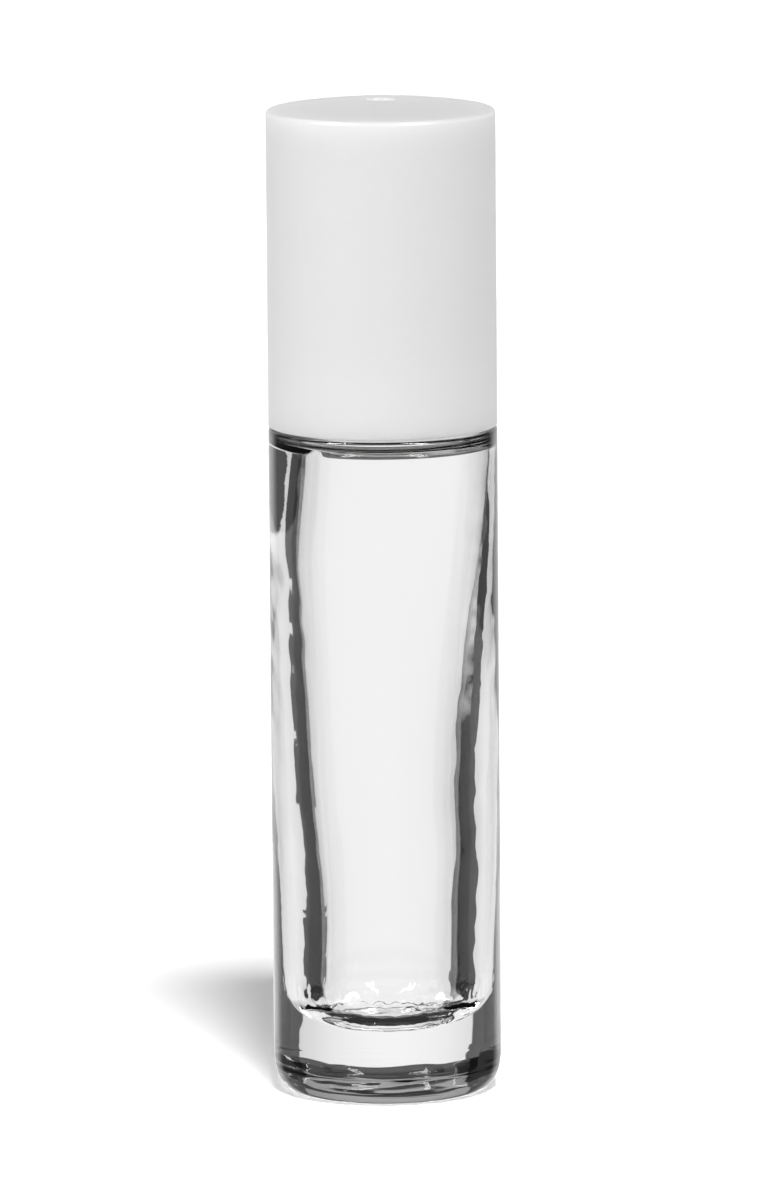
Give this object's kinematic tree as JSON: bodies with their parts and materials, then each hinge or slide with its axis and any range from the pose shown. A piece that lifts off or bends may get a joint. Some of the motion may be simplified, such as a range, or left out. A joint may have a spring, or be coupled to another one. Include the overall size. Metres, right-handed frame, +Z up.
{
  "type": "roll on bottle",
  "caption": "Slim clear glass roll-on bottle with a heavy foot, a pressed-in ball holder with its ball, and a tall white screw cap flush with the glass.",
  "frame": {"origin": "on the surface that the bottle stands on, under the middle of its foot", "axes": "+Z up along the bottle's axis, from foot to cap; -Y faces the viewer in the picture and +X is to the viewer's right"},
  "size_m": [0.02, 0.02, 0.0873],
  "materials": {
    "glass": "clear flint glass, smooth outside, slightly wavy inside",
    "housing_plastic": "natural low-density polyethylene, as moulded",
    "ball_steel": "polished stainless steel",
    "seal_plastic": "soft white polyethylene, as moulded",
    "cap_plastic": "white polypropylene, smooth and softly glossy"
  },
  "bodies": {
    "bottle": {"bottle": "glass", "ball_housing": "housing_plastic"},
    "ball": {"roller_ball": "ball_steel"},
    "seal": {"cap_seal": "seal_plastic"},
    "cap": {"cap": "cap_plastic"}
  },
  "joints": [
    {"name": "ball_roll", "type": "hinge", "parent": "bottle", "child": "ball", "pos_m": [0, 0, 0.07715], "axis": [1, 0, 0], "continuous": true},
    {"name": "cap_lift", "type": "slide", "parent": "bottle", "child": "seal", "axis": [0, 0, 1], "range_m": [0, 0.03]},
    {"name": "cap_turn", "type": "hinge", "parent": "seal", "child": "cap", "pos_m": [0, 0, 0.07], "axis": [0, 0, 1], "range_deg": [0, 3600]}
  ],
  "couplings": [
    {"joint": "cap_lift", "follows": "cap_turn", "m_per_rad": 0.00047746}
  ]
}
